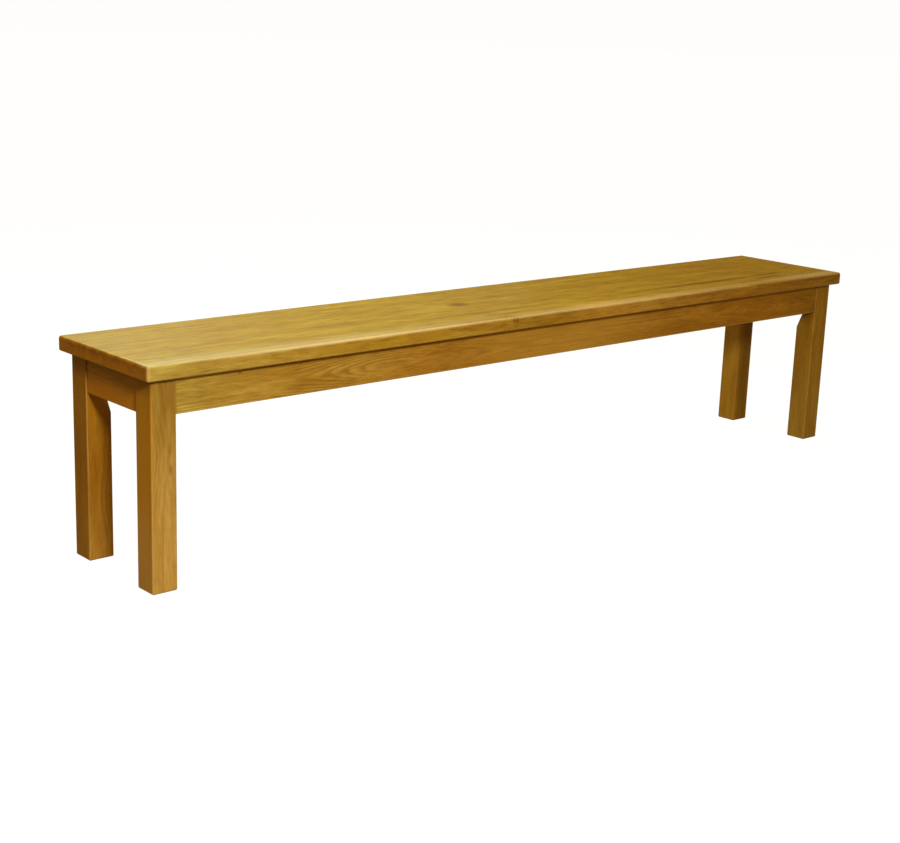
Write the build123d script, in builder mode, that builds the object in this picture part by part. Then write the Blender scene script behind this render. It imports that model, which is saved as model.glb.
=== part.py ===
from build123d import *
from math import sqrt
import os

os.makedirs("parts", exist_ok=True)

# Farmhouse bench, in millimetres. +X runs along the bench, +Y to its back, +Z up.
# The origin is on the floor under the middle of the seat.

# Driving sizes of the whole bench
bench_length = 2100
bench_width = 335
bench_height = 450

# Seat panel, glued up from staves that lie side by side
seat_thickness = 30
seat_end_overhang = 18
seat_side_overhang = 20
seat_corner_radius = 6
seat_top_round = 6
seat_bottom_ease = 2
stave_count = 7

# Finger joint that makes the front stave from two lengths
finger_joint_x = -131
finger_length = 12
finger_count = 6
finger_tip_share = 0.16

# Legs
leg_size = 55
leg_edge_round = 3
foot_ease = 2
corner_cut_runout = 50

# Aprons
apron_height = 74
apron_thickness = 22
apron_setback = 3
apron_lower_ease = 2

# Corner blocks, set across the corners behind the legs
block_thickness = 22
block_height = 60
block_bolt_gap = 6
block_ease = 1.5

# Round fasteners and their bores are drawn with this many flats, to keep them light
fastener_sides = 12

# Hanger bolts with their washers and nuts
bolt_radius = 4
bolt_leg_depth = 36
bolt_tip_chamfer = 2.5
bolt_end_stand = 4
bolt_end_chamfer = 0.8
bolt_spacing = 32
washer_radius = 10
washer_thickness = 1.6
nut_sides = 6
nut_across_flats = 13
nut_height = 6.5

# Wood screws: head, shank and point are shared, each use has its own length
screw_radius = 2.2
screw_head_radius = 4.4
screw_head_height = 2.6
screw_head_chamfer = 1
screw_point_length = 5
screw_point_radius = 0.3
screw_bore_radius = 5.2

# Screws from each corner block into the two aprons beside it
block_screw_web = 8
block_screw_bite = 16

# Cross rails under the seat, with their dowels and seat screws
rail_thickness = 22
rail_height = 60
rail_ease = 2
rail_screw_cover = 27
rail_screw_bite = 18
dowel_radius = 4
dowel_length = 30
dowel_chamfer = 0.8
dowel_spacing = 30

# Wooden buttons that hold the seat down to the aprons
button_width = 26
button_reach = 30
button_thickness = 20
button_tongue_drop = 10
button_tongue_thickness = 8
button_tongue_length = 9
button_ease = 1
button_screw_inset = 18
button_screw_bite = 14
button_slot_play = 1

# Clearances and the overrun that all cuts share
fit_clearance = 0.05
slip_clearance = 0.3
depth_clearance = 1
cut_overrun = 10

# Sizes that follow from the driving sizes
seat_underside = bench_height - seat_thickness
stave_width = bench_width / stave_count
leg_outer_x = bench_length / 2 - seat_end_overhang
leg_outer_y = bench_width / 2 - seat_side_overhang
leg_inner_x = leg_outer_x - leg_size
leg_inner_y = leg_outer_y - leg_size
apron_bottom = seat_underside - apron_height
apron_middle = seat_underside - apron_height / 2
apron_back_depth = apron_setback + apron_thickness
side_apron_inner_y = leg_outer_y - apron_back_depth
end_apron_inner_x = leg_outer_x - apron_back_depth

# Distances along the diagonal of a leg, from its outer corner to the bench's middle
leg_flat_distance = (leg_size + apron_back_depth) / sqrt(2)
leg_inner_distance = leg_size * sqrt(2)
block_back_distance = leg_flat_distance + block_bolt_gap
block_front_distance = block_back_distance + block_thickness

# The aprons are shared out in three bays: rails between bays, a button in each bay
bay_count = 3
bay_length = 2 * leg_inner_x / bay_count
rail_places_x = (-bay_length / 2, bay_length / 2)
side_button_places_x = (-bay_length, 0, bay_length)

signs = (-1, 1)
corners = [(side_x, side_y) for side_x in signs for side_y in signs]


def corner_name(side_x, side_y):
    """Say which corner of the bench the signs stand for."""
    depth_word = "front" if side_y < 0 else "back"
    side_word = "left" if side_x < 0 else "right"
    return f"{depth_word}_{side_word}"


def corner_point(side_x, side_y, inward_x, inward_y, level):
    """A point measured inwards from the outer corner of one leg."""
    return (side_x * (leg_outer_x - inward_x), side_y * (leg_outer_y - inward_y), level)


def diagonal_plane(side_x, side_y):
    """The upright plane along a leg's diagonal: x inwards, y up."""
    return Plane(
        origin=corner_point(side_x, side_y, 0, 0, 0),
        x_dir=(-side_x, -side_y, 0),
        z_dir=(-side_y, side_x, 0),
    )


def bolt_planes(side_x, side_y, distance):
    """The planes square to the two bolts of a corner, facing the bench's middle."""
    inward = distance / sqrt(2)
    return [
        Plane(
            origin=corner_point(side_x, side_y, inward, inward, apron_middle + step * bolt_spacing / 2),
            x_dir=(0, 0, 1),
            z_dir=(-side_x, -side_y, 0),
        )
        for step in signs
    ]


# A corner block's screws sit in the middle of its two wings, this far from the leg's outer faces
block_wing_distance = (block_back_distance + block_front_distance) / sqrt(2) - apron_back_depth


def side_screw_plane(side_x, side_y, height):
    """The plane square to a block's screw into the side apron, at a height above that apron."""
    spot = corner_point(side_x, side_y, block_wing_distance, apron_back_depth + height, apron_middle)
    return Plane(origin=spot, x_dir=(0, 0, 1), z_dir=(0, -side_y, 0))


def end_screw_plane(side_x, side_y, height):
    """The plane square to a block's screw into the end apron, at a height above that apron."""
    spot = corner_point(side_x, side_y, apron_back_depth + height, block_wing_distance, apron_middle)
    return Plane(origin=spot, x_dir=(0, 0, 1), z_dir=(-side_x, 0, 0))


def block_screw_planes(side_x, side_y, height):
    """Both screw planes of one corner block."""
    return [side_screw_plane(side_x, side_y, height), end_screw_plane(side_x, side_y, height)]


def dowel_planes(rail_x, side_y):
    """The planes at the end of a cross rail where its two dowels cross to the apron."""
    return [
        Plane(
            origin=(rail_x, side_y * side_apron_inner_y, rail_middle + step * dowel_spacing / 2),
            x_dir=(1, 0, 0),
            z_dir=(0, -side_y, 0),
        )
        for step in signs
    ]


# Places of the seat's own screws: each rail screw sits in the middle of a stave
rail_middle = seat_underside - rail_height / 2
rail_screw_places = [(x, step * stave_width) for x in rail_places_x for step in signs]

# A button plane lies on the seat's underside, its x pointing into the apron that it grips
side_button_planes = {
    side: [
        Plane(origin=(x, side * side_apron_inner_y, seat_underside), x_dir=(0, side, 0), z_dir=(0, 0, 1))
        for x in side_button_places_x
    ]
    for side in signs
}
end_button_planes = {
    side: [Plane(origin=(side * end_apron_inner_x, 0, seat_underside), x_dir=(side, 0, 0), z_dir=(0, 0, 1))]
    for side in signs
}
all_button_planes = [
    plane for group in (side_button_planes, end_button_planes) for side in signs for plane in group[side]
]

screw_hole_radius = screw_radius + fit_clearance
bolt_hole_radius = bolt_radius + fit_clearance
dowel_hole_radius = dowel_radius + fit_clearance
dowel_hole_depth = dowel_length / 2 + depth_clearance


def finish(piece, name):
    """Name a finished piece and write its file."""
    piece.part.label = name
    export_step(piece.part, f"parts/{name}.step")


# Seat panel: the whole board is shaped and bored first, then parted into its staves
with BuildPart() as seat_panel:
    with BuildSketch(Plane.XY.offset(seat_underside)):
        RectangleRounded(bench_length, bench_width, seat_corner_radius)
    extrude(amount=seat_thickness)
    fillet(seat_panel.faces().sort_by(Axis.Z)[-1].edges(), seat_top_round)
    chamfer(seat_panel.faces().sort_by(Axis.Z)[0].edges(), seat_bottom_ease)
    with BuildSketch(Plane.XY.offset(seat_underside)):
        with Locations(*rail_screw_places):
            RegularPolygon(screw_hole_radius, fastener_sides)
    extrude(amount=rail_screw_bite + depth_clearance, mode=Mode.SUBTRACT)
    with BuildSketch(*all_button_planes):
        with Locations((-button_screw_inset, 0)):
            RegularPolygon(screw_hole_radius, fastener_sides)
    extrude(amount=button_screw_bite + depth_clearance, mode=Mode.SUBTRACT)


def stave_strip(number):
    """The plan of one stave, counted from the front, run past the seat's ends."""
    with BuildSketch(Plane.XY.offset(seat_underside)) as strip:
        with Locations((0, (number - (stave_count + 1) / 2) * stave_width)):
            Rectangle(bench_length + cut_overrun, stave_width)
    return strip.sketch


def finger_points(front_y):
    """The zigzag of the front stave's glued fingers, as seen from above."""
    pitch = stave_width / finger_count
    half_tip = pitch * finger_tip_share / 2
    root_x = finger_joint_x - finger_length / 2
    tip_x = finger_joint_x + finger_length / 2
    points = [(root_x, front_y)]
    for number in range(finger_count):
        start_y = front_y + number * pitch
        middle_y = start_y + pitch / 2
        points += [
            (root_x, start_y + half_tip),
            (tip_x, middle_y - half_tip),
            (tip_x, middle_y + half_tip),
            (root_x, start_y + pitch - half_tip),
        ]
    points.append((root_x, front_y + stave_width))
    return points


def left_length():
    """The plan of the front stave's left length, fingers and all."""
    front_y = -bench_width / 2
    left_x = -(bench_length + cut_overrun) / 2
    with BuildSketch(Plane.XY.offset(seat_underside)) as plan:
        with BuildLine():
            Polyline((left_x, front_y), *finger_points(front_y), (left_x, front_y + stave_width), close=True)
        make_face()
    return plan.sketch


# Front stave, in two lengths whose fingers fill each other's gaps
with BuildPart() as seat_stave_1_left:
    add(seat_panel.part)
    extrude(left_length(), amount=seat_thickness, mode=Mode.INTERSECT)
finish(seat_stave_1_left, "seat_stave_1_left")

with BuildPart() as seat_stave_1_right:
    add(seat_panel.part)
    extrude(stave_strip(1), amount=seat_thickness, mode=Mode.INTERSECT)
    extrude(left_length(), amount=seat_thickness, mode=Mode.SUBTRACT)
finish(seat_stave_1_right, "seat_stave_1_right")

# The other staves, each in one length
for stave_number in range(2, stave_count + 1):
    with BuildPart() as seat_stave:
        add(seat_panel.part)
        extrude(stave_strip(stave_number), amount=seat_thickness, mode=Mode.INTERSECT)
    finish(seat_stave, f"seat_stave_{stave_number}")


def build_leg(side_x, side_y):
    """A square leg, its inner corner cut off flat behind the aprons."""
    with BuildPart() as leg:
        with BuildSketch():
            with Locations((side_x * (leg_outer_x - leg_size / 2), side_y * (leg_outer_y - leg_size / 2))):
                Rectangle(leg_size, leg_size)
        extrude(amount=seat_underside)
        fillet(leg.edges().filter_by(Axis.Z), leg_edge_round)
        chamfer(leg.faces().sort_by(Axis.Z)[0].edges(), foot_ease)
        # The flat starts level with the aprons and runs out down the leg in a long slope
        with BuildSketch(diagonal_plane(side_x, side_y)):
            with BuildLine():
                Polyline(
                    (leg_flat_distance, apron_bottom),
                    (leg_flat_distance, seat_underside + cut_overrun),
                    (leg_inner_distance + cut_overrun, seat_underside + cut_overrun),
                    (leg_inner_distance + cut_overrun, apron_bottom - corner_cut_runout),
                    (leg_inner_distance, apron_bottom - corner_cut_runout),
                    close=True,
                )
            make_face()
        extrude(amount=leg_size, both=True, mode=Mode.SUBTRACT)
        with BuildSketch(*bolt_planes(side_x, side_y, leg_flat_distance)):
            RegularPolygon(bolt_hole_radius, fastener_sides)
        extrude(amount=-bolt_leg_depth - depth_clearance, mode=Mode.SUBTRACT)
    return leg


def build_corner_block(side_x, side_y):
    """A block across the corner, its ends square on the inner faces of two aprons."""
    back = block_back_distance * sqrt(2) - apron_back_depth
    front = block_front_distance * sqrt(2) - apron_back_depth
    plan_points = [
        corner_point(side_x, side_y, inward_x, inward_y, 0)[:2]
        for inward_x, inward_y in (
            (apron_back_depth, back),
            (back, apron_back_depth),
            (front, apron_back_depth),
            (apron_back_depth, front),
        )
    ]
    with BuildPart() as block:
        with BuildSketch(Plane.XY.offset(apron_middle - block_height / 2)):
            with BuildLine():
                Polyline(*plan_points, close=True)
            make_face()
        extrude(amount=block_height)
        chamfer(block.faces().filter_by(Axis.Z).edges(), block_ease)
        with BuildSketch(*bolt_planes(side_x, side_y, block_back_distance)):
            RegularPolygon(bolt_hole_radius, fastener_sides)
        extrude(amount=block_thickness, mode=Mode.SUBTRACT)
        with BuildSketch(*block_screw_planes(side_x, side_y, 0)):
            RegularPolygon(screw_hole_radius, fastener_sides)
        extrude(amount=block_screw_web, mode=Mode.SUBTRACT)
        with BuildSketch(*block_screw_planes(side_x, side_y, block_screw_web)):
            RegularPolygon(screw_bore_radius, fastener_sides)
        extrude(amount=block_thickness, mode=Mode.SUBTRACT)
    return block


# Legs and their corner blocks
for side_x, side_y in corners:
    finish(build_leg(side_x, side_y), f"leg_{corner_name(side_x, side_y)}")
    finish(build_corner_block(side_x, side_y), f"corner_block_{corner_name(side_x, side_y)}")


# Slot in an apron that takes a button's tongue
button_slot_width = button_width + 2 * button_slot_play
button_slot_depth = button_tongue_length + depth_clearance


def slot_plane(button_plane):
    """The plane on an apron's inner face at the middle of a button's tongue, facing into the apron."""
    tongue_drop = button_tongue_drop + button_tongue_thickness / 2
    return Plane(
        origin=button_plane.origin - button_plane.z_dir * tongue_drop,
        x_dir=button_plane.y_dir,
        z_dir=button_plane.x_dir,
    )


# Side aprons, front and back, between the legs' flanks
for side in signs:
    with BuildPart() as side_apron:
        with BuildSketch(Plane.XY.offset(apron_bottom)):
            with Locations((0, side * (side_apron_inner_y + apron_thickness / 2))):
                Rectangle(2 * leg_inner_x, apron_thickness)
        extrude(amount=apron_height)
        lower_edges = side_apron.faces().sort_by(Axis.Z)[0].edges().filter_by(Axis.X)
        fillet(lower_edges, apron_lower_ease)
        with BuildSketch(*[slot_plane(plane) for plane in side_button_planes[side]]):
            Rectangle(button_slot_width, button_tongue_thickness)
        extrude(amount=button_slot_depth, mode=Mode.SUBTRACT)
        with BuildSketch(*[side_screw_plane(side_x, side, 0) for side_x in signs]):
            RegularPolygon(screw_hole_radius, fastener_sides)
        extrude(amount=-block_screw_bite - depth_clearance, mode=Mode.SUBTRACT)
        for rail_x in rail_places_x:
            with BuildSketch(*dowel_planes(rail_x, side)):
                RegularPolygon(dowel_hole_radius, fastener_sides)
            extrude(amount=-dowel_hole_depth, mode=Mode.SUBTRACT)
    finish(side_apron, "front_apron" if side < 0 else "back_apron")

# End aprons, left and right
for side in signs:
    with BuildPart() as end_apron:
        with BuildSketch(Plane.XY.offset(apron_bottom)):
            with Locations((side * (end_apron_inner_x + apron_thickness / 2), 0)):
                Rectangle(apron_thickness, 2 * leg_inner_y)
        extrude(amount=apron_height)
        lower_edges = end_apron.faces().sort_by(Axis.Z)[0].edges().filter_by(Axis.Y)
        fillet(lower_edges, apron_lower_ease)
        with BuildSketch(*[slot_plane(plane) for plane in end_button_planes[side]]):
            Rectangle(button_slot_width, button_tongue_thickness)
        extrude(amount=button_slot_depth, mode=Mode.SUBTRACT)
        with BuildSketch(*[end_screw_plane(side, side_y, 0) for side_y in signs]):
            RegularPolygon(screw_hole_radius, fastener_sides)
        extrude(amount=-block_screw_bite - depth_clearance, mode=Mode.SUBTRACT)
    finish(end_apron, "left_apron" if side < 0 else "right_apron")

# Cross rails, doweled between the side aprons and screwed up into the seat
for side, rail_x in zip(signs, rail_places_x):
    rail_bottom = seat_underside - rail_height
    with BuildPart() as cross_rail:
        with BuildSketch(Plane.XY.offset(rail_bottom)):
            with Locations((rail_x, 0)):
                Rectangle(rail_thickness, 2 * side_apron_inner_y)
        extrude(amount=rail_height)
        lower_edges = cross_rail.faces().sort_by(Axis.Z)[0].edges().filter_by(Axis.Y)
        fillet(lower_edges, rail_ease)
        screw_places = [place for place in rail_screw_places if place[0] == rail_x]
        with BuildSketch(Plane.XY.offset(rail_bottom)):
            with Locations(*screw_places):
                RegularPolygon(screw_bore_radius, fastener_sides)
        extrude(amount=rail_height - rail_screw_cover, mode=Mode.SUBTRACT)
        with BuildSketch(Plane.XY.offset(seat_underside - rail_screw_cover)):
            with Locations(*screw_places):
                RegularPolygon(screw_hole_radius, fastener_sides)
        extrude(amount=rail_screw_cover, mode=Mode.SUBTRACT)
        for side_y in signs:
            with BuildSketch(*dowel_planes(rail_x, side_y)):
                RegularPolygon(dowel_hole_radius, fastener_sides)
            extrude(amount=dowel_hole_depth, mode=Mode.SUBTRACT)
    finish(cross_rail, "cross_rail_left" if side < 0 else "cross_rail_right")

# Dowels, half in the rail and half in the apron
with BuildPart() as dowel:
    with BuildSketch():
        RegularPolygon(dowel_radius, fastener_sides)
    extrude(amount=dowel_length / 2, both=True)
    chamfer(dowel.faces().filter_by(Axis.Z).edges(), dowel_chamfer)

with BuildPart() as cross_rail_dowels:
    for rail_x in rail_places_x:
        for side_y in signs:
            with Locations(*dowel_planes(rail_x, side_y)):
                add(dowel.part)
finish(cross_rail_dowels, "cross_rail_dowels")

# Seat buttons, each with its tongue in an apron's slot and its top on the seat
with BuildPart() as button:
    with BuildSketch(Plane.XZ):
        with BuildLine():
            Polyline(
                (0, 0),
                (-button_reach, 0),
                (-button_reach, -button_thickness),
                (-slip_clearance, -button_thickness),
                (-slip_clearance, -button_tongue_drop - button_tongue_thickness + slip_clearance),
                (button_tongue_length, -button_tongue_drop - button_tongue_thickness + slip_clearance),
                (button_tongue_length, -button_tongue_drop),
                (0, -button_tongue_drop),
                close=True,
            )
        make_face()
    extrude(amount=button_width / 2, both=True)
    chamfer(button.faces().sort_by(Axis.Z)[0].edges().filter_by(Axis.X), button_ease)
    with BuildSketch():
        with Locations((-button_screw_inset, 0)):
            RegularPolygon(screw_hole_radius, fastener_sides)
    extrude(amount=-button_thickness, mode=Mode.SUBTRACT)

with BuildPart() as seat_buttons:
    with Locations(*all_button_planes):
        add(button.part)
finish(seat_buttons, "seat_buttons")


def wood_screw(length):
    """A pan-headed screw: head above z = 0, shank and point below."""
    with BuildPart() as screw:
        with BuildSketch():
            RegularPolygon(screw_head_radius, fastener_sides)
        extrude(amount=screw_head_height)
        chamfer(screw.faces().sort_by(Axis.Z)[-1].edges(), screw_head_chamfer)
        with BuildSketch():
            RegularPolygon(screw_radius, fastener_sides)
        extrude(amount=screw_point_length - length)
        with BuildSketch(Plane.XY.offset(screw_point_length - length)):
            RegularPolygon(screw_radius, fastener_sides)
        with BuildSketch(Plane.XY.offset(-length)):
            RegularPolygon(screw_point_radius, fastener_sides)
        loft()
    return screw.part


# Screws: each group shares one length
block_screw = wood_screw(block_screw_web + block_screw_bite)
with BuildPart() as corner_block_screws:
    for side_x, side_y in corners:
        with Locations(*block_screw_planes(side_x, side_y, block_screw_web)):
            add(block_screw)
finish(corner_block_screws, "corner_block_screws")

rail_screw = wood_screw(rail_screw_cover + rail_screw_bite)
rail_screw_planes = [
    Plane(origin=(x, y, seat_underside - rail_screw_cover), x_dir=(1, 0, 0), z_dir=(0, 0, -1))
    for x, y in rail_screw_places
]
with BuildPart() as rail_seat_screws:
    with Locations(*rail_screw_planes):
        add(rail_screw)
finish(rail_seat_screws, "rail_seat_screws")

button_screw = wood_screw(button_thickness + button_screw_bite)
button_screw_spot = (-button_screw_inset, 0, -button_thickness)
button_screw_seat = Plane(origin=button_screw_spot, x_dir=(1, 0, 0), z_dir=(0, 0, -1))
with BuildPart() as seat_button_screws:
    with Locations(*all_button_planes):
        with Locations(button_screw_seat):
            add(button_screw)
finish(seat_button_screws, "seat_button_screws")

# Hanger bolt, with z = 0 where it leaves the leg's flat
bolt_inner_length = block_bolt_gap + block_thickness + washer_thickness + nut_height + bolt_end_stand
with BuildPart() as hanger_bolt:
    with BuildSketch(Plane.XY.offset(-bolt_leg_depth)):
        RegularPolygon(bolt_radius, fastener_sides)
    extrude(amount=bolt_leg_depth + bolt_inner_length)
    chamfer(hanger_bolt.faces().sort_by(Axis.Z)[0].edges(), bolt_tip_chamfer)
    chamfer(hanger_bolt.faces().sort_by(Axis.Z)[-1].edges(), bolt_end_chamfer)

with BuildPart() as washer:
    with BuildSketch():
        RegularPolygon(washer_radius, fastener_sides)
        RegularPolygon(bolt_hole_radius, fastener_sides, mode=Mode.SUBTRACT)
    extrude(amount=washer_thickness)

with BuildPart() as nut:
    with BuildSketch():
        RegularPolygon(nut_across_flats / 2, nut_sides, major_radius=False)
        RegularPolygon(bolt_hole_radius, fastener_sides, mode=Mode.SUBTRACT)
    extrude(amount=nut_height)


def corner_fasteners(fastener, distance, name):
    """Put the same fastener on both bolts of each corner."""
    with BuildPart() as group:
        for side_x, side_y in corners:
            with Locations(*bolt_planes(side_x, side_y, distance)):
                add(fastener)
    finish(group, name)


corner_fasteners(hanger_bolt.part, leg_flat_distance, "hanger_bolts")
corner_fasteners(washer.part, block_front_distance, "hanger_washers")
corner_fasteners(nut.part, block_front_distance + washer_thickness, "hanger_nuts")
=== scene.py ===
import math
from collections.abc import Sequence
from typing import NamedTuple

import bmesh
import bpy
from mathutils import Matrix, Vector


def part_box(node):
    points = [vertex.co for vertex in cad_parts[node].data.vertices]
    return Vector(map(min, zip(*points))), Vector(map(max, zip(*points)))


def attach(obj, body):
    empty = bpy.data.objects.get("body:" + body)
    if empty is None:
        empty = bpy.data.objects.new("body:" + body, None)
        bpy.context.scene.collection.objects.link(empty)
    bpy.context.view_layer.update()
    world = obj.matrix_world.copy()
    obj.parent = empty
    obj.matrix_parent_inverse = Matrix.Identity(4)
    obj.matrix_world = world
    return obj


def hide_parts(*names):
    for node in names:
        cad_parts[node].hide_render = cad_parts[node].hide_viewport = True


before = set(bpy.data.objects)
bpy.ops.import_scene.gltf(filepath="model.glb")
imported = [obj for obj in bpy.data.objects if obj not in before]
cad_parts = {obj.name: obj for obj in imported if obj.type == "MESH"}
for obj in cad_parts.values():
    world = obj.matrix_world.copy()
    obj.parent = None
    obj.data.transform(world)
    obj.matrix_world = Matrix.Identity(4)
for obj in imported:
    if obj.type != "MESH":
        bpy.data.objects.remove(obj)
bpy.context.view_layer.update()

# Farmhouse bench, in metres. +X runs along the bench, +Y to its back, +Z up.
mm = 0.001

# Camera, fitted to the bench's edges and corners in the photograph
camera_place = Vector((-2.543, -2.672, 1.111))
camera_yaw = math.radians(41.68)
camera_pitch = math.radians(14.54)
camera_roll = math.radians(2.03)
camera_focal_pixels = 1625.5
image_width_pixels = 900
sensor_width_mm = 36

# Lights: place, aim, size, power, colour and whether it shows in the lacquer
lights = {
    "key_light": ((-1.45, -2.1, 1.42), (-0.3, 0.0, 0.35), 0.35, 54, (1.0, 1.0, 1.0), False),
    "top_light": ((-0.6, 0.15, 2.3), (-0.25, 0.0, 0.4), 2.2, 36, (0.84, 1.0, 0.58), True),
    "back_light": ((0.2, 2.6, 2.7), (0.0, 0.0, 0.35), 1.6, 38, (1.0, 1.0, 0.72), True),
    "sheen_light": ((1.5, 3.2, 1.9), (-0.7, 0.0, 0.45), 2.6, 3.2, (1.0, 1.0, 0.62), True),
}
sky_colour = (1.0, 0.62, 0.13, 1.0)
sky_strength = 0.28

# Floor
floor_radius = 40.0
floor_rim_radius = 60.0
floor_rim_height = 18.0
floor_sides = 64
floor_colour = (0.10, 0.10, 0.10, 1.0)
floor_roughness = 0.9
floor_shine = 0.1
floor_glow_colour = (1.0, 1.0, 1.0, 1.0)
floor_glow = 0.965

# Wood colours, each as light ground, warm body and dark line
seat_palette = ((0.475, 0.312, 0.031, 1), (0.385, 0.212, 0.016, 1), (0.22, 0.100, 0.006, 1))
apron_palette = ((0.45, 0.225, 0.024, 1), (0.35, 0.155, 0.012, 1), (0.18, 0.062, 0.005, 1))
leg_palette = ((0.45, 0.220, 0.020, 1), (0.38, 0.172, 0.012, 1), (0.22, 0.080, 0.005, 1))
hidden_palette = ((0.66, 0.47, 0.22, 1), (0.52, 0.34, 0.135, 1), (0.34, 0.20, 0.07, 1))

# End grain colours, each as light and dark patches
oak_end_colours = ((0.34, 0.115, 0.004, 1), (0.19, 0.052, 0.002, 1))
hidden_end_colours = ((0.42, 0.235, 0.075, 1), (0.27, 0.140, 0.040, 1))

# Colours of knots and patches in the wood
knot_colour = (0.14, 0.050, 0.006, 1)
soft_knot_colour = (0.17, 0.055, 0.004, 1)
red_patch_colour = (0.36, 0.12, 0.012, 1)
end_pale_colour = (0.44, 0.17, 0.008, 1)

# Colour of worn edges, which also carries a painted highlight, and colours of painted sheen, painted light
# and a painted highlight
worn_edge_and_highlight_colour = (0.55, 0.36, 0.12, 1)
painted_pale_light_colour = (0.66, 0.48, 0.24, 1)
painted_grey_sheen_colour = (0.55, 0.43, 0.27, 1)
painted_corner_highlight_colour = (0.58, 0.38, 0.14, 1)

# Colours of painted light and shade, for places that the photograph shows lit or shaded, which stay on the
# bench in any light
edge_shine_colour = (0.74, 0.54, 0.28, 1)
apron_painted_light_colour = (0.52, 0.29, 0.036, 1)
leg_painted_light_colour = (0.53, 0.225, 0.006, 1)
leg_shade_colour = (0.10, 0.042, 0.004, 1)
side_painted_light_colour = (0.62, 0.235, 0.008, 1)
side_shade_colour = (0.15, 0.052, 0.002, 1)

# Noises of the wood: cells to a metre along and across the grain, detail and roughness
patch_noise = ((6, 30, 30), 2.0, 0.5)
blotch_noise = ((6.5, 38, 38), 3.0, 0.55)
streak_noise = ((21, 145, 145), 3.0, 0.6)
fibre_noise = ((34, 560, 560), 2.0, 0.6)
pore_noise = ((60, 1500, 1500), 1.0, 0.5)

# Noises that bend the growth rings, each with how far it bends them
ring_wanders = (
    (((1.9, 8, 8), 2.0, 0.5), 10 * mm),
    (((7, 38, 38), 2.0, 0.5), 3.4 * mm),
    (((22, 160, 160), 2.0, 0.5), 1.3 * mm),
)
noise_middle = 0.5

# Levels between which a feature takes effect, and ramps, which add its shares at the two levels
body_levels = (0.36, 0.64)
dark_streak_levels = (0.46, 0.72)
rub_and_highlight_levels = (0.35, 0.65)
end_patch_levels = (0.40, 0.60)
ring_rise_ramp = (0.0, 0.15, 0.0, 1.0)
ring_fall_ramp = (0.2, 0.8, 1.0, 0.0)
ring_patch_ramp = (0.32, 0.62, 0.15, 1.0)
pore_ramp = (0.54, 0.70, 0.0, 1.0)
light_streak_ramp = (0.28, 0.46, 0.40, 0.0)
fibre_ramp = (0.42, 0.75, 0.0, 0.42)
end_grain_ramp = (0.25, 0.85, 0.0, 0.85)
mark_ramp = (0.2, 1.0, 1.0, 0.0)

# How much of each effect shows
pore_dark_share = 0.6
pore_between_rings_share = 0.3
end_blotch_share = 0.75
rub_and_highlight_least_share = 0.2
edge_wear_and_highlight_core_share = 0.4
joint_line_core_share = 0.3
edge_wear_and_highlight_width = 3.5 * mm
joint_line_width = 2.2 * mm

# Lacquer
lacquer_roughness = 0.28
lacquer_shine = 0.45
fibre_roughness = 0.12
pore_roughness = 0.15
fibre_height_share = 0.3
pore_height_share = -0.7
bump_strength = 0.35
bump_depth = 0.15 * mm

# Which world axes lie along and across a board, by the axis of its grain
grain_orders = {"X": (0, 1, 2), "Y": (1, 0, 2), "Z": (2, 0, 1)}


class Wood(NamedTuple):
    """The wood of a family of boards: its colours, and how strongly its features show.

    kind is the first word of its materials' names.
    """

    kind: str
    palette: tuple
    end_colours: tuple
    ring_share: float = 0.45
    streak_share: float = 0.45
    rub_share: float = 0.25
    joint_share: float = 0.0


class Board(NamedTuple):
    """One board and its own figure.

    grain is the axis that its grain runs along, and seed sets its noise. heart is the tree's
    heart as seen from the board's middle, in the board's own y and z. tone moves the ground
    from light to warm. turn is the angle of a board that lies along no axis. hills, drifts
    and marks hold rows like those of the tables below.
    """

    node: str
    wood: Wood
    grain: str
    seed: float
    heart: tuple
    ring_width: float
    tone: float = 0.0
    turn: float = 0.0
    hills: Sequence = ()
    drifts: Sequence = ()
    marks: Sequence = ()


seat_wood = Wood("oak", seat_palette, oak_end_colours, ring_share=0.35, streak_share=0.75)
apron_wood = Wood("oak", apron_palette, oak_end_colours, joint_share=0.8)
front_apron_wood = apron_wood._replace(ring_share=0.50, rub_share=0.5)
leg_wood = Wood("oak", leg_palette, oak_end_colours, ring_share=0.35, streak_share=0.3)
hidden_wood = Wood("wood", hidden_palette, hidden_end_colours)

# Seat staves from the front to the back: node, seed, heart (y, z), ring width and tone
stave_facts = (
    ("seat_stave_1_left", 11.0, (0.02, -0.09), 4.2 * mm, 0.05),
    ("seat_stave_1_right", 18.3, (-0.03, -0.07), 4.0 * mm, 0.0),
    ("seat_stave_2", 25.6, (0.05, -0.05), 4.5 * mm, -0.06),
    ("seat_stave_3", 32.9, (-0.02, -0.10), 4.0 * mm, 0.03),
    ("seat_stave_4", 40.2, (0.01, -0.06), 4.2 * mm, 0.0),
    ("seat_stave_5", 47.5, (-0.05, -0.07), 3.8 * mm, 0.05),
    ("seat_stave_6", 54.8, (0.03, -0.11), 4.0 * mm, 0.0),
    ("seat_stave_7", 62.1, (-0.02, -0.06), 4.2 * mm, -0.02),
)

# Aprons: node, wood, grain, seed, heart (y, z) and ring width
apron_facts = (
    ("front_apron", front_apron_wood, "X", 3.1, (0.024, -0.004), 3.2 * mm),
    ("back_apron", apron_wood, "X", 5.7, (-0.03, 0.01), 3.6 * mm),
    ("left_apron", apron_wood, "Y", 7.9, (0.04, 0.02), 3.6 * mm),
    ("right_apron", apron_wood, "Y", 9.2, (-0.04, 0.02), 3.6 * mm),
)
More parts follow.
